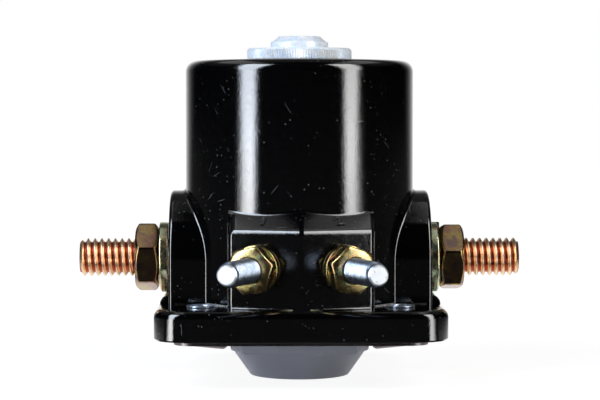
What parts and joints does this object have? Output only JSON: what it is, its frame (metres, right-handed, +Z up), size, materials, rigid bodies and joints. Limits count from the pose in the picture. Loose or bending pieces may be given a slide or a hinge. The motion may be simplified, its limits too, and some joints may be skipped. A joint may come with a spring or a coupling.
{
  "type": "starter relay",
  "caption": "Starter relay: moulded housing over a magnet coil, copper main studs in side ears, control studs in a front boss, plunger and contact disc inside.",
  "frame": {"origin": "centre of the dome's flat foot, on the axis of the coil and plunger", "axes": "+Z up along the plunger's axis, +X along the main studs, -Y towards the control studs"},
  "size_m": [0.0914, 0.0731, 0.0705],
  "materials": {
    "black_moulding": "gloss moulded",
    "dome_moulding": "satin moulded",
    "gasket": "fibre",
    "cover_sheet": "passivated sheet",
    "bright_zinc": "bright zinc plate",
    "yellow_zinc": "yellow chromate",
    "bronze_zinc": "dark yellow chromate",
    "copper": "drawn copper",
    "steel": "plain steel",
    "nylon": "natural nylon",
    "enamel": "enamelled wire"
  },
  "bodies": {
    "base": {"housing": "black_moulding", "bottom_gasket": "gasket", "bottom_cover": "cover_sheet", "bottom_dome": "dome_moulding", "hollow_rivets": "bright_zinc", "left_main_stud": "copper", "right_main_stud": "copper", "left_main_nut": "bronze_zinc", "right_main_nut": "bronze_zinc", "left_lock_washer": "yellow_zinc", "right_lock_washer": "yellow_zinc", "left_control_stud": "bright_zinc", "right_control_stud": "bright_zinc", "left_control_nut": "yellow_zinc", "right_control_nut": "yellow_zinc", "left_control_washer": "yellow_zinc", "right_control_washer": "yellow_zinc", "top_washer": "bright_zinc", "fixed_core": "bright_zinc", "flux_cup": "steel", "pole_plate": "steel", "coil_bobbin": "nylon", "coil_winding": "enamel", "coil_leads": "copper", "return_spring": "steel", "sense_finger": "copper", "ground_strip": "copper"},
    "armature": {"plunger": "steel", "plunger_stem": "bright_zinc", "stem_clip": "steel", "contact_spring": "steel"},
    "contact": {"contact_disc": "copper", "disc_bush": "nylon"}
  },
  "joints": [
    {"name": "armature_slide", "type": "slide", "parent": "base", "child": "armature", "axis": [0, 0, 1], "range_m": [0, 0.0024], "stiffness_N_per_m": 1500, "springref_m": -0.004, "deforming": ["return_spring"]},
    {"name": "contact_slide", "type": "slide", "parent": "armature", "child": "contact", "axis": [0, 0, 1], "range_m": [-0.0008, 0], "deforming": ["contact_spring"]}
  ],
  "couplings": [
    {"joint": "contact_slide", "follows": "armature_slide", "ratio": -0.3333}
  ]
}
